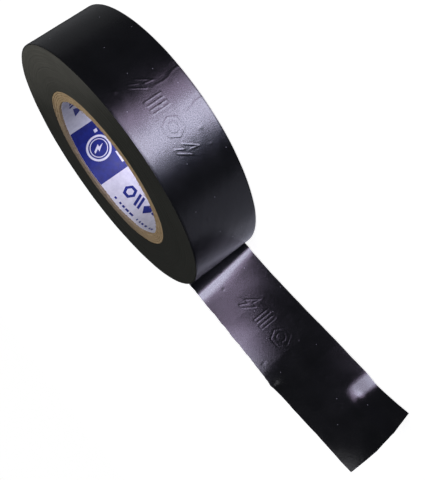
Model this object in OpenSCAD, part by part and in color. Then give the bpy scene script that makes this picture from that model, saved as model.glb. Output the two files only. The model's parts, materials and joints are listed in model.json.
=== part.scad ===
// Roll of vinyl electrical tape with a free tail.
// The roll lies flat: its axis is Z, its lower side face is at z = 0, and the axis passes through the origin.
// The tape unwinds clockwise seen from above. The tail leaves the roll on its -X side.

/* [Roll] */
// Outside diameter of the full roll
roll_d = 69; // [50:0.5:80]
// Width of the tape, which is the height of the roll lying flat
tape_w = 18; // [10:0.5:25]
// Thickness of one layer of tape, film and adhesive together
tape_t = 0.13; // [0.11:0.01:0.2]
// Thickness of the adhesive layer alone
adhesive_t = 0.03; // [0.02:0.01:0.05]

/* [Core] */
// Clear bore of the roll, inside the printed label
bore_d = 38.1; // [25:0.1:40]
// Outside diameter of the paper core
core_d = 44; // [42:0.5:48]
// Number of kraft plies in the core
ply_count = 5; // [3:1:8]
// Thickness of the printed label
label_t = 0.1; // [0.08:0.01:0.2]
// Distance that the label stops short of the upper face
label_setback = 0.7; // [0:0.1:2]
// Opening at the label's butt seam, in degrees of arc
label_seam = 1; // [0.5:0.5:5]
// Direction of the label's seam from the axis, in degrees
label_seam_dir = 300; // [0:5:355]

/* [Tail] */
// Direction of the peel line from the axis, in degrees
peel_dir = 184; // [150:1:210]
// Length of the free tail
tail_len = 58; // [30:1:80]
// Number of lengths that the tail is divided into so that it can bend
tail_count = 8; // [2:1:10]
// Heading of the tail where it leaves the roll, in degrees
tail_heading = 201; // [190:1:220]
// Change of heading from one length of the tail to the next, in degrees
tail_curl = 1.4; // [0:0.1:2]
// Radial clearance between the peel hinge and the roll's surface
hinge_gap = 0.15; // [0.1:0.05:0.5]
// Clearance between neighbouring lengths of the tail
tail_gap = 0.1; // [0.05:0.05:0.3]

/* [Hidden] */
$fn = 180;
film_t = tape_t - adhesive_t;
roll_r = roll_d / 2;
bore_r = bore_d / 2;
ply_r = bore_r + label_t;
ply_t = (core_d / 2 - ply_r) / ply_count;
film_black = [0.06, 0.06, 0.07];
edge_black = [0.2, 0.2, 0.19];
adhesive_black = [0.12, 0.11, 0.12];
kraft_brown = [0.56, 0.48, 0.38];
label_blue = [0.12, 0.22, 0.55];
// Half of the arc that one length of the tail covers when the tail is laid back on the roll
hinge_r = roll_r + hinge_gap;
half_step = atan(tail_len / ((2 * tail_count - 1) * hinge_r));
// The first length is half as long as the others, so that all of them lie tangent to the roll
function length_of(i) = (i == 1 ? 1 : 2) * hinge_r * tan(half_step);
function heading_of(i) = tail_heading + (i - 1) * tail_curl;
function along(angle, distance) = distance * [cos(angle), sin(angle)];
function hinge_of(i) =
    i == 1 ? along(peel_dir, hinge_r) : hinge_of(i - 1) + along(heading_of(i - 1), length_of(i - 1));

module ring(outer_r, inner_r, height) {
    difference() {
        cylinder(r = outer_r, h = height);
        translate([0, 0, -1]) cylinder(r = inner_r, h = height + 2);
    }
}

// Half of a disc on the +Y side of a line through its centre, moved along that line
module half_disc(radius, offset_x, height) {
    translate([offset_x, 0, 0]) intersection() {
        cylinder(r = radius, h = height);
        translate([-radius - 1, 0, 0]) cube([2 * radius + 2, radius + 1, height]);
    }
}

// Disc bounded by one turn of the tape: it starts at start_r on the peel line and, after a full turn,
// ends one layer lower. Each half turn is an arc whose centre is a quarter layer off the axis.
module turn_disc(start_r, height) {
    rotate([0, 0, peel_dir]) union() {
        half_disc(start_r - tape_t / 4, tape_t / 4, height);
        mirror([0, 1, 0]) half_disc(start_r - 3 * tape_t / 4, -tape_t / 4, height);
    }
}

// One layer of the outer turn, from the radius start_r inwards
module turn_layer(start_r, thickness) {
    difference() {
        turn_disc(start_r, tape_w);
        translate([0, 0, -1]) turn_disc(start_r - thickness, tape_w + 2);
    }
}

// One layer of the tail's length number i. The tail's outer face is on the left of its heading.
module tail_layer(i, from_y, thickness) {
    translate([hinge_of(i)[0], hinge_of(i)[1], 0])
        rotate([0, 0, heading_of(i)])
            translate([tail_gap / 2, from_y, 0])
                cube([length_of(i) - tail_gap, thickness, tape_w]);
}

module core_ply(i) {
    color(kraft_brown) ring(ply_r + i * ply_t, ply_r + (i - 1) * ply_t, tape_w);
}

module core_label() {
    seam_w = 2 * ply_r * sin(label_seam / 2);
    color(label_blue) difference() {
        ring(ply_r, bore_r, tape_w - label_setback);
        rotate([0, 0, label_seam_dir]) translate([0, -seam_w / 2, -1]) cube([ply_r + 1, seam_w, tape_w + 2]);
    }
}

module wound_tape() {
    color(edge_black) difference() {
        turn_disc(roll_r - tape_t, tape_w);
        translate([0, 0, -1]) cylinder(d = core_d, h = tape_w + 2);
    }
}

module outer_turn_film() {
    color(film_black) turn_layer(roll_r, film_t);
}

module outer_turn_adhesive() {
    color(adhesive_black) turn_layer(roll_r - film_t, adhesive_t);
}

module tail_film(i) {
    color(film_black) tail_layer(i, adhesive_t - tape_t / 2, film_t);
}

module tail_adhesive(i) {
    color(adhesive_black) tail_layer(i, -tape_t / 2, adhesive_t);
}

for (i = [1 : ply_count]) core_ply(i);
core_label();
wound_tape();
outer_turn_film();
outer_turn_adhesive();
for (i = [1 : tail_count]) tail_film(i);
for (i = [1 : tail_count]) tail_adhesive(i);
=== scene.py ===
"""Looks of a roll of black vinyl electrical tape with a free tail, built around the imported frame.

The roll lies flat with its axis on Z. A place on the tape is given by s, the distance in
millimetres from the peel line (towards the free end on the tail, into the roll on the tread),
and by its height z across the width.
"""
import json
import math

import bmesh
import bpy
import numpy as np
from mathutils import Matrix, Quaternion, Vector


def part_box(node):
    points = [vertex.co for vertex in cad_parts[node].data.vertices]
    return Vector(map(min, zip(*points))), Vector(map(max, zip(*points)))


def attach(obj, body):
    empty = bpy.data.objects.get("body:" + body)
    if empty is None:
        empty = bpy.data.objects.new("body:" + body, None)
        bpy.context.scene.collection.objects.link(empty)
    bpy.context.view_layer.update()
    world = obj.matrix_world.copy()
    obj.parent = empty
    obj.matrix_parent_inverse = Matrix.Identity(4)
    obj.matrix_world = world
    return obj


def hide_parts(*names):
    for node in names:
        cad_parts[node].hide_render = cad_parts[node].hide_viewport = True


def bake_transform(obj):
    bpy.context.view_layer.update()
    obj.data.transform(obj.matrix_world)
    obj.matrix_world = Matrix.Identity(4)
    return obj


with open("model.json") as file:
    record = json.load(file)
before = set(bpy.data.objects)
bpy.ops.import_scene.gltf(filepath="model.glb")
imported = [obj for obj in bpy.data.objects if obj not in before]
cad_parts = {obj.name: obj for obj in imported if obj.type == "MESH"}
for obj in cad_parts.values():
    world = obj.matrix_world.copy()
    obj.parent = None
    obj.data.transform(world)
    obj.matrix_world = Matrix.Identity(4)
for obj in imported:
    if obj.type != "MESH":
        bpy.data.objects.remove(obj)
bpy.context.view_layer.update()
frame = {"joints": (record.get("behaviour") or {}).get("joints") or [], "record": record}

# ---------------------------------------------------------------- sizes in millimetres
MM = 0.001
LAYER = 0.13
ADHESIVE = 0.03
FILM = LAYER - ADHESIVE
HINGE_GAP = 0.15
TAIL_LENGTH = 58.0
HINGES = [Vector(j["pos_m"]).xy / MM for j in frame["joints"]]
PEEL_DIR = math.atan2(HINGES[0].y, HINGES[0].x)
ROLL_R = HINGES[0].length - HINGE_GAP
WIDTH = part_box("wound_tape")[1].z / MM
CORE_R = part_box("core_ply_5")[1].x / MM
LABEL_BACK_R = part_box("core_label")[1].x / MM
LABEL_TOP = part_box("core_label")[1].z / MM
BORE_R = frame["record"]["mounts"][0]["dims"]["r_mm"]
PLY_COUNT = 5
PEEL_DEGREES = 184
# The marks repeat along the tape. The first one on the tread is this far into the roll.
MARK_PERIOD = 75.7
MARK_FIRST = 54.2


# ---------------------------------------------------------------- small helpers
def smooth_noise(x, seed, scale):
    """Smooth noise from -1 to 1 along x: a sum of three sines whose phases come from the seed."""
    phases = np.random.default_rng(seed).uniform(0, 2 * math.pi, 3)
    waves = (np.sin(x * f / scale + p) for f, p in zip((1.0, 2.3, 4.1), phases))
    return sum(w * a for w, a in zip(waves, (0.55, 0.3, 0.15)))


def periodic_noise(angle, seed, low, high):
    """Noise of about -1 to 1 that closes on itself, with low to high waves per turn."""
    made = np.random.default_rng(seed)
    counts = made.integers(low, high + 1, 6)
    phases = made.uniform(0, 2 * math.pi, 6)
    return sum(np.sin(angle * c + p) for c, p in zip(counts, phases)) / 4


def steps(spans):
    """Grid lines through spans of (end, step), starting at 0, so that detail gets a finer grid."""
    lines, start = [0.0], 0.0
    for end, step in spans:
        count = max(1, round((end - start) / step))
        lines.extend(start + (end - start) * (k + 1) / count for k in range(count))
        start = end
    return np.array(lines)


def smoothstep(x):
    x = np.clip(x, 0, 1)
    return x * x * (3 - 2 * x)


def on_roll(radius, angle, z):
    """Points from cylinder coordinates about the roll's axis."""
    return np.stack([radius * np.cos(angle), radius * np.sin(angle), z + 0 * angle], -1)


def new_object(name, verts_mm, faces, material, tape=None):
    """A smooth mesh object from points in millimetres. tape is each point's place for textures."""
    mesh = bpy.data.meshes.new(name)
    mesh.from_pydata((np.asarray(verts_mm) * MM).tolist(), [], faces)
    mesh.validate()
    mesh.update()
    mesh.shade_smooth()
    if tape is not None:
        layer = mesh.attributes.new("tape_mm", "FLOAT_VECTOR", "POINT")
        layer.data.foreach_set("vector", np.asarray(tape, np.float32).ravel())
    mesh.materials.append(material)
    made = bpy.data.objects.new(name, mesh)
    bpy.context.scene.collection.objects.link(made)
    return made


def sharpen(obj, degrees=40):
    """Splits the shading where two faces meet at more than that angle."""
    mesh = obj.data
    work = bmesh.new()
    work.from_mesh(mesh)
    bmesh.ops.recalc_face_normals(work, faces=work.faces)
    limit = math.radians(degrees)
    for edge in work.edges:
        edge.smooth = len(edge.link_faces) == 2 and edge.calc_face_angle(0) < limit
    work.to_mesh(mesh)
    work.free()


def shell(name, outer, inner, material, tape=None):
    """A thin solid between two grids of points (columns along the strip, rows across it)."""
    nu, nv = outer.shape[:2]
    ni = inner.shape[1]
    base = nu * nv
    out = lambda i, j: i * nv + j
    inn = lambda i, j: base + i * ni + j
    faces = []
    for i in range(nu - 1):
        k = i + 1
        faces += [(out(i, j), out(k, j), out(k, j + 1), out(i, j + 1)) for j in range(nv - 1)]
        faces += [(inn(i, j), inn(i, j + 1), inn(k, j + 1), inn(k, j)) for j in range(ni - 1)]
        faces.append((out(i, 0), inn(i, 0), inn(k, 0), out(k, 0)))
        faces.append((out(i, nv - 1), out(k, nv - 1), inn(k, ni - 1), inn(i, ni - 1)))
    for i in (0, nu - 1):
        ring = [out(i, j) for j in range(nv)] + [inn(i, j) for j in reversed(range(ni))]
        faces.append(tuple(ring if i == 0 else reversed(ring)))
    verts = np.concatenate([outer.reshape(-1, 3), inner.reshape(-1, 3)])
    if tape is not None:
        under = tape[:, np.linspace(0, nv - 1, ni).astype(int)]
        tape = np.concatenate([tape.reshape(-1, 3), under.reshape(-1, 3)])
    made = new_object(name, verts, faces, material, tape=tape)
    sharpen(made)
    return made


def lathe(name, profile, columns, material, wobble):
    """A ring turned from a closed profile of (radius, z).

    wobble(k, angle) gives how far profile point k moves, as (dr, dz).
    """
    angle = np.arange(columns) * 2 * math.pi / columns
    points = np.zeros((columns, len(profile), 3))
    for k, (radius, z) in enumerate(profile):
        dr, dz = wobble(k, angle)
        points[:, k] = on_roll(radius + dr, angle, z + dz)
    count = len(profile)
    faces = [
        (i * count + k, (i + 1) % columns * count + k,
         (i + 1) % columns * count + (k + 1) % count, i * count + (k + 1) % count)
        for i in range(columns) for k in range(count)
    ]
    made = new_object(name, points.reshape(-1, 3), faces, material)
    sharpen(made)
    return made


# ---------------------------------------------------------------- materials
class Graph:
    """A material's node tree with short calls for the nodes used here."""

    def __init__(self, name, colour, roughness, specular=0.5):
        self.material = bpy.data.materials.new(name)
        self.material.use_nodes = True
        self.tree = self.material.node_tree
        self.shader = self.tree.nodes["Principled BSDF"]
        self.set("Base Color", (*colour, 1))
        self.set("Roughness", roughness)
        self.set("Specular IOR Level", specular)

    def set(self, socket, value):
        self.shader.inputs[socket].default_value = value

    def node(self, kind, inputs=None, **settings):
        made = self.tree.nodes.new(kind)
        for key, value in settings.items():
            setattr(made, key, value)
        for socket, value in (inputs or {}).items():
            if hasattr(value, "is_output"):
                self.tree.links.new(value, made.inputs[socket])
            else:
                made.inputs[socket].default_value = value
        return made

    def link(self, output, socket):
        self.tree.links.new(output, self.shader.inputs[socket])

    def place(self, scale, attribute=None):
        """Coordinates in 1/scale millimetres: the object's own, or the tape's (s, z)."""
        if attribute:
            source = self.node("ShaderNodeAttribute", attribute_name=attribute).outputs["Vector"]
            factor = scale
        else:
            source = self.node("ShaderNodeTexCoord").outputs["Object"]
            factor = [v / MM for v in scale]
        return self.node("ShaderNodeMapping", {"Vector": source, "Scale": factor}).outputs["Vector"]

    def noise(self, place, scale=1.0, detail=3.0, rough=0.5):
        inputs = {"Vector": place, "Scale": scale, "Detail": detail, "Roughness": rough}
        return self.node("ShaderNodeTexNoise", inputs).outputs["Fac"]

    def ramp(self, value, stops):
        made = self.node("ShaderNodeValToRGB", {"Fac": value})
        while len(made.color_ramp.elements) < len(stops):
            made.color_ramp.elements.new(0.5)
        for element, (position, colour) in zip(made.color_ramp.elements, stops):
            element.position = position
            element.color = (*colour, 1)
        return made.outputs["Color"]

    def span(self, value, low, high):
        """Maps a texture's middle range to low..high."""
        return self.remap(value, (0.3, 0.7), (low, high))

    def remap(self, value, source, target, kind="LINEAR"):
        """Maps the source range of a value to the target range, and holds it there outside."""
        inputs = {
            "Value": value, "From Min": source[0], "From Max": source[1],
            "To Min": target[0], "To Max": target[1],
        }
        return self.node("ShaderNodeMapRange", inputs, interpolation_type=kind).outputs["Result"]

    def mix(self, share, first, second):
        inputs = {"Factor": share, "A": first, "B": second}
        return self.node("ShaderNodeMix", inputs, data_type="RGBA").outputs["Result"]

    def math(self, kind, *values):
        made = self.node("ShaderNodeMath", operation=kind)
        for socket, value in zip(made.inputs, values):
            if hasattr(value, "is_output"):
                self.tree.links.new(value, socket)
            else:
                socket.default_value = value
        return made.outputs[0]

    def bump(self, heights):
        """Stacks bumps of (texture, height in millimetres)."""
        normal = None
        for value, height in heights:
            inputs = {"Height": value, "Distance": height * MM, "Strength": 1.0}
            if normal:
                inputs["Normal"] = normal
            normal = self.node("ShaderNodeBump", inputs).outputs["Normal"]
        self.link(normal, "Normal")


def vinyl(name):
    """Satin black PVC film: calender grain, drag lines along it, uneven gloss and a little dust."""
    g = Graph(name, (0.0022, 0.0024, 0.0027), 0.2)
    grain = g.noise(g.place((1, 1, 1), "tape_mm"), 3.4, 3.0, 0.62)
    fine = g.noise(g.place((1, 1, 1), "tape_mm"), 9.0, 2.0, 0.5)
    drag = g.noise(g.place((0.08, 2.2, 1), "tape_mm"), 1.0, 4.0, 0.6)
    smudge = g.noise(g.place((1, 1, 1), "tape_mm"), 0.16, 3.0, 0.55)
    g.link(g.span(smudge, 0.18, 0.235), "Roughness")
    g.link(g.span(grain, 0.36, 0.64), "Specular IOR Level")
    film = g.ramp(smudge, [(0.3, (0.0018, 0.0020, 0.0023)), (0.75, (0.0030, 0.0032, 0.0036))])
    dust = g.ramp(grain, [(0.3, (0.10, 0.10, 0.11)), (0.7, (0.26, 0.26, 0.28))])
    cells = {"Vector": g.place((1, 1, 1), "tape_mm"), "Scale": 0.11, "Randomness": 1.0}
    speck = g.node("ShaderNodeTexVoronoi", cells, voronoi_dimensions="2D").outputs["Distance"]
    g.link(g.mix(g.remap(speck, (0.006, 0.014), (0.6, 0.0)), film, dust), "Base Color")
    g.bump([(smudge, 0.03), (drag, 0.006), (grain, 0.024), (fine, 0.006)])
    return g.material


def slit_edge():
    """The matte side of the wound layers: fine rings of film and adhesive, with a painted sheen
    that lightens them towards +X.
    """
    g = Graph("wound_edges", (0.036, 0.037, 0.030), 0.55, 0.3)
    place = g.node("ShaderNodeTexCoord").outputs["Object"]
    split = g.node("ShaderNodeSeparateXYZ", {"Vector": place}).outputs
    squares = [g.math("POWER", split[axis], 2.0) for axis in "XY"]
    radius = g.math("SQRT", g.math("ADD", *squares))
    in_mm = g.math("MULTIPLY", radius, 1 / MM)
    rings = g.node("ShaderNodeCombineXYZ", {"X": in_mm}).outputs["Vector"]
    layers = g.noise(rings, 7.0, 4.0, 0.75)
    broad = g.noise(rings, 0.9, 3.0, 0.6)
    patches = g.noise(g.place((1, 1, 1)), 0.12, 4.0, 0.6)
    grain = g.noise(g.place((1, 1, 1)), 4.5, 3.0, 0.6)
    slow = g.math("ADD", g.math("MULTIPLY", broad, 0.3), g.math("MULTIPLY", patches, 0.35))
    mixed = g.math("ADD", g.math("MULTIPLY", layers, 0.35), slow)
    clean = g.ramp(mixed, [(0.32, (0.020, 0.021, 0.016)), (0.68, (0.038, 0.038, 0.031))])
    # painted sheen: the colour turns lighter towards +X, where light glances off the side face
    painted_sheen = g.ramp(mixed, [(0.32, (0.085, 0.084, 0.070)), (0.68, (0.115, 0.112, 0.096))])
    across = g.math("SUBTRACT", split["X"], g.math("MULTIPLY", split["Y"], 0.3))
    edge = g.math("ADD", g.math("DIVIDE", across, MM), g.math("MULTIPLY", patches, 8.0))
    share = g.remap(edge, (14.0, 40.0), (0.0, 1.0), "SMOOTHSTEP")
    g.link(g.mix(share, clean, painted_sheen), "Base Color")
    g.link(g.span(patches, 0.48, 0.6), "Roughness")
    g.bump([(layers, 0.02), (grain, 0.012)])
    return g.material


def kraft():
    """Brown core board: pressed fibres, flecks and a dry surface, with painted shade darkening it
    towards +Y.
    """
    g = Graph("kraft_board", (0.33, 0.25, 0.165), 0.85, 0.25)
    fibres = g.noise(g.place((1, 1, 1)), 2.6, 6.0, 0.7)
    flecks = g.noise(g.place((1, 1, 1)), 0.9, 5.0, 0.65)
    mottle = g.math("ADD", g.math("MULTIPLY", fibres, 0.55), g.math("MULTIPLY", flecks, 0.45))
    browns = [(0.33, (0.30, 0.20, 0.10)), (0.5, (0.47, 0.34, 0.19)), (0.68, (0.60, 0.45, 0.28))]
    clean = g.ramp(mottle, browns)
    # painted shade: the board turns darker towards +Y
    painted_shade = g.ramp(mottle, [(0.35, (0.13, 0.105, 0.085)), (0.66, (0.32, 0.25, 0.19))])
    place = g.node("ShaderNodeTexCoord").outputs["Object"]
    split = g.node("ShaderNodeSeparateXYZ", {"Vector": place}).outputs
    side = g.math("ADD", g.math("DIVIDE", split["Y"], MM), g.math("MULTIPLY", flecks, 12.0))
    share = g.remap(side, (6.0, 26.0), (0.0, 0.8), "SMOOTHSTEP")
    g.link(g.mix(share, clean, painted_shade), "Base Color")
    g.bump([(flecks, 0.05), (fibres, 0.05)])
    return g.material


def paper(name, light, dark, roughness):
    """Coated paper or the ink printed on it, with faint mottle."""
    g = Graph(name, light, roughness, 0.4)
    mottle = g.noise(g.place((1, 1, 1)), 0.7, 5.0, 0.6)
    tooth = g.noise(g.place((1, 1, 1)), 6.0, 3.0, 0.6)
    g.link(g.ramp(mottle, [(0.35, dark), (0.62, light)]), "Base Color")
    g.link(g.span(mottle, roughness - 0.05, roughness + 0.08), "Roughness")
    g.bump([(mottle, 0.02), (tooth, 0.006)])
    return g.material


def tacky_adhesive():
    """Black rubber adhesive: uneven gloss where it was pulled off the film below it."""
    g = Graph("rubber_adhesive", (0.011, 0.010, 0.012), 0.3)
    pulled = g.noise(g.place((1, 1, 1)), 0.5, 5.0, 0.65)
    legs = g.noise(g.place((1, 1, 1)), 3.0, 4.0, 0.6)
    g.link(g.span(pulled, 0.22, 0.5), "Roughness")
    blacks = [(0.35, (0.008, 0.007, 0.009)), (0.7, (0.016, 0.015, 0.018))]
    g.link(g.ramp(pulled, blacks), "Base Color")
    g.bump([(pulled, 0.04), (legs, 0.02)])
    return g.material


# ---------------------------------------------------------------- raised marks on the tape
def polygon(centre, points):
    """Closed outline as segments, in tape millimetres."""
    cx, cy = centre
    ends = points[1:] + points[:1]
    return [((cx + a[0], cy + a[1]), (cx + b[0], cy + b[1])) for a, b in zip(points, ends)]


def regular(radius, sides, turn=0.0):
    """Corners of a regular polygon about the origin."""
    angles = [turn + 2 * math.pi * k / sides for k in range(sides)]
    return [(radius * math.cos(a), radius * math.sin(a)) for a in angles]


# The mark's outlines, in millimetres about their centres
BOLT = [(0.3, 2.6), (-1.7, -0.4), (-0.4, -0.4), (-0.9, -2.6), (1.5, 0.6), (0.2, 0.6), (1.3, 2.6)]
BAR = [(-0.5, -2.2), (0.5, -2.2), (0.5, 2.2), (-0.5, 2.2)]
MARK = (
    polygon((-8.2, 0), BOLT)
    + polygon((-2.9, 0), regular(2.4, 6)) + polygon((-2.9, 0), regular(1.1, 24))
    + polygon((2.0, 0), BAR) + polygon((4.0, 0), BAR)
    + polygon((8.4, 0), BOLT)
)
MARK_HALF = 10.8
MARK_HEIGHT = 0.040
MARK_LINE = 0.13


def distance_to_mark(x, y):
    """Shortest distance of each point to the mark's outlines."""
    best = np.full(x.shape, 99.0)
    for (ax, ay), (bx, by) in MARK:
        dx, dy = bx - ax, by - ay
        t = np.clip(((x - ax) * dx + (y - ay) * dy) / (dx * dx + dy * dy), 0, 1)
        best = np.minimum(best, np.hypot(x - ax - t * dx, y - ay - t * dy))
    return best


def mark_relief(from_peel, z):
    """Height of the marks. from_peel is positive into the roll and negative along the tail."""
    x = (from_peel - MARK_FIRST + MARK_PERIOD / 2) % MARK_PERIOD - MARK_PERIOD / 2
    near = np.abs(x) < MARK_HALF
    height = np.zeros(x.shape)
    d = distance_to_mark(x[near], (z - WIDTH / 2)[near])
    height[near] = MARK_HEIGHT * np.exp(-((d / MARK_LINE) ** 2))
    return height


def pimples(u, v, seed, count, length):
    """Grit trapped under the film: a few small domes."""
    made = np.random.default_rng(seed)
    height = np.zeros(u.shape)
    for _ in range(count):
        cu, cv = made.uniform(0, length), made.uniform(1.5, WIDTH - 1.5)
        size, tall = made.uniform(0.22, 0.36), made.uniform(0.03, 0.08)
        height += tall * np.exp(-(((u - cu) ** 2 + (v - cv) ** 2) / size ** 2))
    return height


# ---------------------------------------------------------------- the roll
TURN_LENGTH = 2 * math.pi * ROLL_R
ROWS = steps([(0.5, 0.12), (5.6, 0.35), (12.4, 0.16), (17.5, 0.35), (WIDTH, 0.12)])
RIM_DROP = 0.04
RIM_REACH = 0.25
GRIT_COUNT = 34
# Each crease: its direction from the axis in degrees, how far it slants across the width, how high
# it reaches and how deep it is
CREASES = [(285.5, -2.2, 9.5, 0.018), (272.0, -1.6, 7.0, 0.024)]


def turn_angle(from_peel):
    return PEEL_DIR + from_peel / ROLL_R


def turn_radius(from_peel):
    """Outer radius of the last turn: it loses one layer's thickness from its start to its end."""
    return ROLL_R - LAYER * from_peel / TURN_LENGTH


def crease(u, v, at, slant, reach, depth):
    """A pinched line across the tape, from the lower rim up to reach."""
    line = u - at - slant * (v / WIDTH) - 0.25 * np.sin(v * 1.1)
    fade = smoothstep((reach - v) / 4.0)
    ridge = np.exp(-((line / 0.22) ** 2)) - 0.5 * np.exp(-(((line - 0.7) / 0.6) ** 2))
    return fade * depth * ridge


def tread_relief(u, v):
    """Height of the tread's surface over a true cylinder, in millimetres."""
    height = mark_relief(u, v) + pimples(u, v, 21, GRIT_COUNT, TURN_LENGTH)
    for degrees, slant, reach, depth in CREASES:
        height += crease(u, v, math.radians(degrees - PEEL_DEGREES) * ROLL_R, slant, reach, depth)
    slack = smooth_noise(u, 31, 6.0) * (0.35 + 0.65 * (v / WIDTH))
    slack += 0.5 * smooth_noise(u + 2 * v, 32, 3.1)
    height += 0.030 * slack
    rim = np.minimum(v, WIDTH - v)
    height -= RIM_DROP * np.exp(-((rim / RIM_REACH) ** 2))
    return height


def make_tread(film, glue):
    """The last full turn: its film with the relief, and the adhesive under it."""
    spans = []
    for k in range(3):
        middle = MARK_FIRST + k * MARK_PERIOD
        spans += [(middle - MARK_HALF, 0.45), (min(middle + MARK_HALF, TURN_LENGTH - 0.5), 0.16)]
    spans.append((TURN_LENGTH, 0.45))
    u = steps(spans)
    uu, vv = np.meshgrid(u, ROWS, indexing="ij")
    angle = turn_angle(uu)
    height = tread_relief(uu, vv)
    at_rim = np.minimum(vv, WIDTH - vv) < 0.01
    edge = 0.03 * (1 + smooth_noise(uu, 41, 4.0)) * at_rim * np.sign(WIDTH / 2 - vv)
    outer = on_roll(turn_radius(uu) + height, angle, vv + edge)
    rims = (slice(None), [0, -1])
    inner = on_roll((turn_radius(uu) + height - FILM)[rims], angle[rims], outer[..., 2][rims])
    tape = np.stack([uu, vv, 0 * uu], -1)
    tread = shell("tread_film", outer, inner, film, tape=tape)
    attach(tread, "roll")
    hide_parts("outer_turn_film")

    coarse = steps([(TURN_LENGTH, 1.2)])
    rows = np.array([0.03, 0.5, 2.0, WIDTH - 2.0, WIDTH - 0.5, WIDTH - 0.05])
    cu, cv = np.meshgrid(coarse, rows, indexing="ij")
    drop = RIM_DROP * np.exp(-((np.minimum(cv, WIDTH - cv) / RIM_REACH) ** 2))
    under = turn_radius(cu) - drop - FILM - 0.004
    outer = on_roll(under, turn_angle(cu), cv)
    inner = on_roll((under - ADHESIVE)[rims], turn_angle(cu)[rims], cv[rims])
    band = shell("tread_adhesive", outer, inner, glue)
    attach(band, "roll")
    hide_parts("outer_turn_adhesive")


def make_wound_edges(material):
    """The buried turns. Their side faces step up and down a little from layer to layer."""
    columns, bands = 288, 46
    radii = np.linspace(CORE_R + 0.01, ROLL_R - 2 * LAYER - 0.02, bands + 1)
    made = np.random.default_rng(5)
    offsets = made.uniform(-0.012, 0.01, bands)
    offsets[made.integers(0, bands, 4)] -= 0.02
    profile, owners = [], []
    for side, z in ((1, WIDTH), (-1, 0.0)):
        order = range(bands) if side == 1 else reversed(range(bands))
        for k in order:
            a, b = (radii[k], radii[k + 1]) if side == 1 else (radii[k + 1], radii[k])
            gap = 0.03 if side == 1 else -0.03
            for radius in (a + gap, b - gap):
                profile.append((radius, z))
                owners.append((k, side))

    def wobble(index, angle):
        k, side = owners[index]
        wave = 0.02 * periodic_noise(angle, 100 + k // 6, 1, 5)
        wave += 0.006 * periodic_noise(angle, 300 + k, 5, 19)
        depth = offsets[k] + wave - 0.02
        return 0, side * np.minimum(depth, 0.02)

    ring = lathe("wound_layers", profile, columns, material, wobble)
    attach(ring, "roll")
    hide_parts("wound_tape")


FRAY_DIR = math.radians(265)
FIBRE_COUNT = 16


def make_fibres(material):
    """A few loose board fibres that stand off the core's inner rim."""
    made = np.random.default_rng(33)
    for k in range(FIBRE_COUNT):
        angle = FRAY_DIR + made.normal(0, 0.9)
        length, lean = made.uniform(0.5, 1.3), made.uniform(-1, 1)
        t = np.linspace(0, 1, 7)
        radius = LABEL_BACK_R + 0.25 - t * length * made.uniform(0.2, 0.55)
        along = angle + lean * t * length / BORE_R + 0.02 * np.sin(3 * t + k)
        height = WIDTH - 0.18 + 0.25 * np.sin(math.pi * t * 0.8)
        path = on_roll(radius, along, height)
        thick = 0.045 * (1 - 0.7 * t)
        ring = np.radians(np.arange(0, 360, 72))
        section = np.stack(
            [np.cos(ring) * math.cos(angle), np.cos(ring) * math.sin(angle), np.sin(ring)], -1)
        tube = path[:, None] + thick[:, None, None] * section[None]
        count = len(ring)
        faces = [
            (i * count + j, i * count + (j + 1) % count,
             (i + 1) * count + (j + 1) % count, (i + 1) * count + j)
            for i in range(len(t) - 1) for j in range(count)
        ]
        faces += [tuple(range(count))[::-1], tuple((len(t) - 1) * count + j for j in range(count))]
        fibre = new_object(f"board_fibre_{k + 1}", tube.reshape(-1, 3), faces, material)
        sharpen(fibre, 70)
        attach(fibre, "roll")


def make_core(material):
    """Five board plies, each with softened, slightly uneven cut edges."""
    thickness = (CORE_R - LABEL_BACK_R) / PLY_COUNT
    for k in range(PLY_COUNT):
        inner, outer = LABEL_BACK_R + k * thickness, LABEL_BACK_R + (k + 1) * thickness
        soft = 0.11
        seat = 0.012
        top, low = WIDTH - 0.05 - 0.05 * (k % 2), 0.02
        profile = [
            (inner + seat, low + soft), (inner + seat, top - soft),
            (inner + soft * 0.4, top - soft * 0.3), (inner + soft * 1.2, top),
            (outer - soft * 1.2, top), (outer - soft * 0.4, top - soft * 0.3),
            (outer - seat, top - soft), (outer - seat, low + soft),
            (outer - soft, low), (inner + soft, low),
        ]

        def wobble(index, angle, k=k):
            if index in (7, 8, 9, 0):  # the lower edge stays true
                return 0, 0
            rough = 0.05 * periodic_noise(angle, 60 + k, 2, 9)
            rough += 0.035 * periodic_noise(angle, 80 + k, 30, 95)
            near_fray = math.cos(math.radians(35)) - np.abs(np.sin((angle - FRAY_DIR) / 2))
            worn = 0.35 + 0.65 * smoothstep(near_fray * 3)
            inner_rim = k == 0 and index in (1, 2, 3)
            frayed = np.abs(0.22 * worn * periodic_noise(angle, 90, 50, 150) * inner_rim)
            return frayed * 0.5, np.minimum(rough, 0.06) - frayed

        ring = lathe(f"kraft_ply_{k + 1}", profile, 420, material, wobble)
        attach(ring, "roll")
        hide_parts(f"core_ply_{k + 1}")


# ---------------------------------------------------------------- the printed label inside the core
LABEL_SEAM = math.radians(300)
LABEL_TURN = 2 * math.pi * BORE_R
LABEL_LOW = 0.25


def label_radius(angle, z):
    """Inner radius of the label: the paper lifts off the board by a hair here and there."""
    lift = 0.02 + 0.02 * periodic_noise(angle, 71, 2, 7) * smoothstep(z / LABEL_TOP)
    return BORE_R - np.clip(lift, 0, 0.05)


def label_top(angle):
    """The label's upper edge, rough where it was torn."""
    torn = 0.12 * periodic_noise(angle, 72, 3, 12) + 0.07 * periodic_noise(angle, 73, 60, 160)
    return LABEL_TOP + np.clip(torn, -0.35, 0.25)


def on_label(degrees, z, lift=0.0):
    angle = np.radians(degrees)
    radius = label_radius(angle, z) - lift
    return np.stack([radius * np.cos(angle), radius * np.sin(angle), z], -1)


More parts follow.
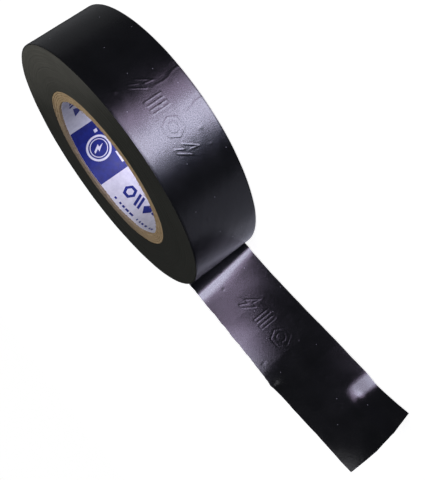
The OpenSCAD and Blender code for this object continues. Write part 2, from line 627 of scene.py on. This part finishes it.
def make_label(material):
    """The paper liner, from one side of its seam round to the other."""
    angle = LABEL_SEAM + np.radians(np.linspace(0.5, 359.5, 600))
    top = label_top(angle)
    share = np.array([0.0, 0.03, 0.35, 0.7, 0.92, 0.985, 1.0])
    aa = np.repeat(angle[:, None], len(share), 1)
    zz = LABEL_LOW + (top[:, None] - LABEL_LOW) * share[None]
    inner_face = on_label(np.degrees(aa), zz)
    outer_face = on_roll(np.full(aa.shape, LABEL_BACK_R - 0.005), aa, zz)
    paper_ring = shell("label_paper", outer_face, inner_face, material)
    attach(paper_ring, "roll")
    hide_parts("core_label")


def ink(name, shapes, material, lift):
    """Printed shapes: outlines of (degrees round the core, z), in strips that follow the label."""
    work = bmesh.new()
    for outline in shapes:
        corners = [work.verts.new((d, z, 0)) for d, z in outline]
        work.faces.new(corners)
    low = min(v.co.x for v in work.verts)
    high = max(v.co.x for v in work.verts)
    for cut in np.arange(low + 1.0, high, 1.0):
        geom = work.verts[:] + work.edges[:] + work.faces[:]
        bmesh.ops.bisect_plane(work, geom=geom, plane_co=(cut, 0, 0), plane_no=(1, 0, 0))
    bmesh.ops.triangulate(work, faces=work.faces)
    co = np.array([v.co for v in work.verts])
    height = np.minimum(co[:, 1], label_top(np.radians(co[:, 0])) - 0.02)
    placed = on_label(co[:, 0], height, lift) * MM
    for vert, point in zip(work.verts, placed):
        vert.co = point
    for face in work.faces:
        middle = face.calc_center_median()
        if face.normal.dot(Vector((middle.x, middle.y, 0))) > 0:
            face.normal_flip()
    mesh = bpy.data.meshes.new(name)
    work.to_mesh(mesh)
    work.free()
    mesh.shade_smooth()
    mesh.materials.append(material)
    made = bpy.data.objects.new(name, mesh)
    bpy.context.scene.collection.objects.link(made)
    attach(made, "roll")


def in_degrees(centre, points):
    """An outline in millimetres about a centre of (degrees, z), as (degrees, z)."""
    k = 360 / LABEL_TURN
    return [(centre[0] + x * k, centre[1] + y) for x, y in points]


def annulus(centre, outer, inner, sides=40):
    """A ring as quads, so that each is a simple outline."""
    angles = [2 * math.pi * n / sides for n in range(sides + 1)]
    quads = []
    for a, b in zip(angles, angles[1:]):
        corners = ((outer, a), (outer, b), (inner, b), (inner, a))
        quads.append(in_degrees(centre, [(r * math.cos(t), r * math.sin(t)) for r, t in corners]))
    return quads


def box_outline(centre, wide, tall):
    signs = ((-1, -1), (1, -1), (1, 1), (-1, 1))
    return in_degrees(centre, [(a * wide / 2, b * tall / 2) for a, b in signs])


def make_print(blue, white):
    """A generic print, repeated every half turn: a block with a bolt in a ring, and plain shapes.

    Places are (degrees round the core, z), and mid is the middle of the block.
    """
    block_mid, block_arc = 72.5, 49.0
    badge_z, row_z, top_row_z, dash_z = 12.1, 12.2, 13.4, 16.25
    small_bolt = [(x * 0.62, y * 0.62) for x, y in BOLT]
    slash = [(-1.2, -1.7), (-0.3, -1.7), (1.2, 1.7), (0.3, 1.7)]
    blues, whites = [], []
    made = np.random.default_rng(12)
    for turn in (0, 180):
        mid = block_mid + turn
        low, high = mid - block_arc / 2, mid + block_arc / 2
        blues.append([(low, 0.9), (high, 0.9), (high, 18), (low, 18)])
        badge = (mid - 1, badge_z)
        whites += annulus(badge, 3.6, 3.0)
        whites += annulus(badge, 2.6, 2.35)
        whites.append(in_degrees(badge, small_bolt))
        whites.append(box_outline((mid - 15, 10.6), 1.0, 1.0))
        whites += [box_outline((mid + 14, z), 3.4, 0.7) for z in (8.4, 7.0)]
        blues += annulus((mid + 43, row_z), 2.0, 1.1, 6)
        blues += [in_degrees((mid + right, row_z), slash) for right in (53, 57.5)]
        blues.append(in_degrees((mid + 67, row_z), regular(1.8, 4)))
        blues += [box_outline((mid + 78, z), 3.2, 0.8) for z in (row_z, 10.6)]
        blues.append(in_degrees((mid - 43, 13.2), regular(1.9, 3, 0.5)))
        blues += [in_degrees((mid - left, top_row_z), slash) for left in (54, 59)]
        at = mid + 40
        while at < mid + 101:
            wide = made.uniform(0.5, 1.7)
            blues.append(box_outline((at, dash_z), wide, 0.55))
            at += (wide + made.uniform(0.5, 1.3)) * 360 / LABEL_TURN
    ink("label_ink_blue", blues, blue, 0.012)
    ink("label_ink_white", whites, white, 0.024)


# ---------------------------------------------------------------- the free tail
FOLD_S = 0.34
SPAN_LENGTH = (HINGES[2] - HINGES[1]).length
FIRST_LENGTH = (HINGES[1] - HINGES[0]).length
FINE_STEP = 0.05
SOFTEN_OVER = 41
# Heading of the tail in degrees along its upper and lower edge, at s millimetres from the peel
# line, and how far the film hollows across its width
HEADING_S = [FOLD_S, 1.8, 4.5, 6, 10, 14, 20, 28, 31.5, 34.5, 40, 47, 50.5, 55, 60]
HEADING_UPPER = [
    213, 212, 204, 200.5, 200.5, 199.5, 196, 194.5, 200.5, 215, 214, 212.5, 212, 213, 216]
HEADING_LOWER = [
    213, 210, 204, 204, 205, 207.5, 210.5, 212, 211, 210, 210.5, 211, 226, 228, 234]
HOLLOW = [0, 0.1, 0.2, 0.3, 0.5, 0.65, 0.75, 0.7, 0.4, 0.1, 0, 0, 0, 0, 0]
# Further turns of the heading in degrees: a ridge beside the fold, and a patch pressed in near the
# end of the lower edge
RIDGE_TURN, RIDGE_S = 20, 2.3
PATCH_TURN, PATCH_S = 19, 46.0
# The notch in the upper edge, the stretch with marks, and where the ragged end cut begins to show
NOTCH_S, DENT_S = 31.7, 32.3
MARKED_S = (7, 37)
END_REACH = 6


def two_sided(x, before, after):
    """A bump of height 1 at 0 with its own width on each side."""
    return np.exp(-((x / np.where(x < 0, before, after)) ** 2))


def tail_surface(s, z):
    """Points of the film's outer face and its outward direction, on a grid of s by z."""
    fine = np.arange(0, TAIL_LENGTH + 2, FINE_STEP)
    kernel = np.hanning(SOFTEN_OVER)
    kernel /= kernel.sum()

    def soften(keys):
        padded = np.pad(np.interp(fine, HEADING_S, keys), SOFTEN_OVER // 2, mode="edge")
        return np.convolve(padded, kernel, "valid")

    def travel(rate):
        """The sum of a rate along the fine steps, read at s."""
        total = np.concatenate([[0], np.cumsum((rate[1:] + rate[:-1]) / 2 * FINE_STEP)])
        return np.interp(s, fine, total)

    upper, lower = soften(HEADING_UPPER), soften(HEADING_LOWER)
    start = math.degrees(PEEL_DIR) - 90 + 360
    points = np.zeros((len(s), len(z), 3))
    out = np.zeros_like(points)
    for j, q in enumerate(z / WIDTH):
        heading = lower + (upper - lower) * q ** 1.5
        heading -= RIDGE_TURN * two_sided(fine - RIDGE_S - 1.8 * q ** 0.8, 0.55, 1.2 + 0.6 * q)
        pressed = np.minimum(1.0, 1.7 * two_sided(fine - PATCH_S + 1.5 * q, 1.4, 1.8))
        heading -= PATCH_TURN * pressed * smoothstep((0.43 - q) / 0.23)
        folded = start + (heading - start) * smoothstep(fine / FOLD_S)
        heading = np.where(fine < FOLD_S, folded, heading)
        h = np.radians(heading)
        hs = np.interp(s, fine, h)
        points[:, j, 0] = ROLL_R * math.cos(PEEL_DIR) + travel(np.cos(h))
        points[:, j, 1] = ROLL_R * math.sin(PEEL_DIR) + travel(np.sin(h))
        points[:, j, 2] = z[j]
        out[:, j] = np.stack([-np.sin(hs), np.cos(hs), 0 * hs], -1)
        points[:, j] -= out[:, j] * (np.interp(s, HEADING_S, HOLLOW) * 4 * q * (1 - q))[:, None]
    return points, out


def tail_relief(u, v):
    """Height of the tail's surface over smooth film: marks, grit, slack and a dent at the notch."""
    height = mark_relief(-u, v) + pimples(u, v, 22, 9, TAIL_LENGTH)
    height += 0.04 * smooth_noise(u + 0.6 * v, 33, 5.0) * smoothstep(u / 6)
    dent = np.exp(-(((u - DENT_S) / 1.1) ** 2) - (((v - (WIDTH + 0.3)) / 1.8) ** 2))
    return height - 0.3 * dent


def make_tail(film, glue):
    """The free tail, cut between the hinges into pieces."""
    mids = [FIRST_LENGTH + SPAN_LENGTH * (k + 0.5) for k in range(len(HINGES) - 2)]
    bounds = [0.0, FIRST_LENGTH / 2] + mids + [TAIL_LENGTH]
    rows = steps([(0.4, 0.2), (5.4, 0.5), (12.6, 0.16), (17.6, 0.5), (WIDTH, 0.2)])
    for k, (start, end) in enumerate(zip(bounds, bounds[1:])):
        marked = MARKED_S[0] < end and start < MARKED_S[1]
        count = round((end - start) / (0.16 if marked else 0.3))
        s = np.linspace(start, end, count + 1)
        if k == 0:
            s = np.unique(np.concatenate([np.linspace(0, FOLD_S, 9), s[s > FOLD_S]]))
        make_tail_span(k, s, rows, film, glue)


def tail_points(s, rows):
    """Outer face of the film with its edges, end cut and relief."""
    uu, vv = np.meshgrid(s, rows, indexing="ij")
    cut = 0.8 * vv / WIDTH + 0.5 * (1 - (2 * vv / WIDTH - 1) ** 2) + 0.1 * smooth_noise(vv, 45, 1.1)
    stretch = smoothstep((uu - TAIL_LENGTH + END_REACH) / END_REACH) * cut
    points, out = tail_surface(s, rows)
    points += out[..., [1, 0, 2]] * np.array([1, -1, 0]) * stretch[..., None]
    points += out * tail_relief(uu, vv)[..., None]
    ragged = 0.06 * smooth_noise(uu, 46, 2.0)
    ragged += 0.07 * smooth_noise(uu, 48, 0.7) * smoothstep((34 - uu) / 4)
    ragged += 0.22 * np.exp(-(((uu - NOTCH_S) / 0.9) ** 2))
    top = np.exp(-(((WIDTH - vv) / 0.5) ** 2))
    low = np.exp(-((vv / 0.5) ** 2))
    points[..., 2] += top * ragged + low * 0.05 * (1 + smooth_noise(uu, 47, 2.6))
    return points, out, np.stack([-uu, vv, 0 * uu], -1)


def make_tail_span(k, s, rows, film, glue):
    """One length of the tail, film and adhesive."""
    points, out, tape = tail_points(s, rows)
    face = shell(f"tail_film_span_{k + 1}", points, points - out * FILM, film, tape=tape)
    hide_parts(f"tail_film_{k + 1}")
    every = lambda count, step: np.unique(np.append(np.arange(0, count, step), count - 1))
    coarse = np.ix_(every(len(s), 2 if k else 1), every(len(rows), 3))
    top = (points - out * (FILM + 0.002))[coarse]
    inset = np.zeros_like(top)
    inset[:, 0, 2] = 0.04
    inset[:, -1, 2] = -0.04
    low = top - out[coarse] * ADHESIVE
    under = shell(f"tail_adhesive_span_{k + 1}", top + inset, low + inset, glue)
    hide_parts(f"tail_adhesive_{k + 1}")
    for piece in (face, under):
        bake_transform(piece)


# ---------------------------------------------------------------- camera, floor and light
CAMERA_AT = Vector((0, -0.18976, 0.06106))
CAMERA_AIM = Vector((-0.0290, -0.0026, 0.0067))
CAMERA_ROLL = math.radians(-127.1)
CAMERA_LENS = 59.2


def make_camera():
    data = bpy.data.cameras.new("camera")
    data.lens = CAMERA_LENS
    data.clip_start = 0.005
    data.clip_end = 50
    camera = bpy.data.objects.new("camera", data)
    camera.location = CAMERA_AT
    camera.rotation_mode = "QUATERNION"
    aim = (CAMERA_AIM - CAMERA_AT).to_track_quat("-Z", "Y")
    camera.rotation_quaternion = aim @ Quaternion((0, 0, 1), CAMERA_ROLL)
    bpy.context.scene.collection.objects.link(camera)
    bpy.context.scene.camera = camera


def floor_material():
    """White floor seen from above only. It glows to stay pale, a little less near the roll, which
    paints a faint shadow around it.
    """
    g = Graph("floor_white", (0.5, 0.5, 0.5), 0.9, 0.0)
    place = g.node("ShaderNodeTexCoord").outputs["Object"]
    far = g.node("ShaderNodeVectorMath", {0: place}, operation="LENGTH").outputs["Value"]
    g.set("Emission Color", (1, 1, 1, 1))
    # painted shadow: the glow dims towards the roll
    g.link(g.remap(far, (0.08, 0.3), (0.84, 1.0)), "Emission Strength")
    under = g.node("ShaderNodeNewGeometry").outputs["Backfacing"]
    clear = g.node("ShaderNodeBsdfTransparent").outputs[0]
    mixed = g.node("ShaderNodeMixShader", {0: under, 1: g.shader.outputs[0], 2: clear}).outputs[0]
    g.tree.links.new(mixed, g.tree.nodes["Material Output"].inputs["Surface"])
    return g.material


def backdrop_material():
    g = Graph("backdrop_white", (0, 0, 0), 1.0, 0.0)
    g.set("Emission Color", (1, 1, 1, 1))
    g.set("Emission Strength", 1.0)
    return g.material


def make_stage():
    """A pale floor and a pale backdrop all round. The camera sees them and the gloss doesn't."""
    under_roll = (0, 0, -0.0002)
    bpy.ops.mesh.primitive_circle_add(vertices=96, radius=4, fill_type="NGON", location=under_roll)
    floor = bpy.context.object
    floor.name = "floor"
    floor.data.materials.append(floor_material())
    bpy.ops.mesh.primitive_uv_sphere_add(segments=48, ring_count=24, radius=5)
    backdrop = bpy.context.object
    backdrop.name = "backdrop"
    backdrop.data.materials.append(backdrop_material())
    for thing in (floor, backdrop):
        thing.visible_glossy = False
        thing.visible_diffuse = False
        thing.visible_shadow = False
        thing.visible_transmission = False


# Name, azimuth span, elevation span, distance in metres, radiance and colour of each light panel
PANELS = [
    ("key_window", (255, 280), (-34, -9), 2.0, 16.5, (0.79, 0.77, 1.0)),
    ("mauve_top", (286, 293), (-16, 5), 2.0, 7.0, (0.80, 0.68, 1.0)),
    ("key_mauve", (280, 298), (-34, -10), 2.0, 4.9, (0.84, 0.67, 1.0)),
    ("key_high", (260, 282), (-8, 8), 2.0, 10.0, (0.80, 0.76, 1.0)),
    ("key_blue", (244, 255), (-28, -8), 2.0, 1.2, (0.5, 0.57, 1.0)),
    ("left_fill", (152, 208), (-28, -10), 1.0, 0.45, (0.80, 0.80, 1.0)),
    ("left_low", (106, 152), (-30, -17), 1.0, 0.6, (0.80, 0.80, 1.0)),
    ("back_fill", (84, 104), (-32, -8), 1.2, 0.9, (0.90, 0.93, 1.0)),
    ("right_fill", (12, 62), (-28, -8), 1.0, 0.105, (0.92, 0.94, 1.0)),
    ("side_glow", (-30, 10), (14, 44), 0.11, 1.6, (1.0, 0.99, 0.92)),
    ("top_soft", (255, 295), (40, 76), 0.7, 2.9, (0.95, 0.95, 1.0)),
]


def panel(name, azimuth, elevation, distance, radiance, colour):
    """A soft light panel that spans azimuth and elevation, each (low, high) in degrees.

    Both are seen from the roll, azimuth from +X. Radiance is how bright the panel itself looks.
    """
    halves = (math.radians((high - low) / 2) for low, high in (azimuth, elevation))
    wide, tall = (2 * distance * math.tan(half) for half in halves)
    data = bpy.data.lights.new(name, "AREA")
    data.shape = "RECTANGLE"
    data.size = wide
    data.size_y = tall
    data.energy = radiance * math.pi * wide * tall
    data.color = colour
    light = bpy.data.objects.new(name, data)
    a, e = (math.radians(sum(span) / 2) for span in (azimuth, elevation))
    away = Vector((math.cos(a) * math.cos(e), math.sin(a) * math.cos(e), math.sin(e)))
    light.location = Vector((0, 0, WIDTH / 2 * MM)) + away * distance
    light.rotation_mode = "QUATERNION"
    light.rotation_quaternion = (-away).to_track_quat("-Z", "Y")
    light.visible_camera = False
    bpy.context.scene.collection.objects.link(light)


def make_lights():
    """A bright window in front, dimmer strips beside it, dim panels all round and a soft top."""
    for values in PANELS:
        panel(*values)
    world = bpy.data.worlds.new("studio")
    world.use_nodes = True
    background = world.node_tree.nodes["Background"].inputs
    background["Color"].default_value = (0.93, 0.96, 1.0, 1)
    background["Strength"].default_value = 0.055
    bpy.context.scene.world = world
    bpy.context.scene.view_settings.view_transform = "Standard"


# ---------------------------------------------------------------- the build
make_camera()
make_stage()
make_lights()

film_material = vinyl("vinyl_film")
glue_material = tacky_adhesive()
kraft_material = kraft()
label_material = paper("label_paper", (0.80, 0.80, 0.86), (0.68, 0.68, 0.75), 0.42)
blue_material = paper("ink_blue", (0.010, 0.022, 0.25), (0.006, 0.014, 0.18), 0.45)
white_material = paper("ink_white", (0.84, 0.84, 0.90), (0.76, 0.76, 0.83), 0.4)

make_tread(film_material, glue_material)
make_wound_edges(slit_edge())
make_core(kraft_material)
make_fibres(kraft_material)
make_label(label_material)
make_print(blue_material, white_material)
make_tail(film_material, glue_material)
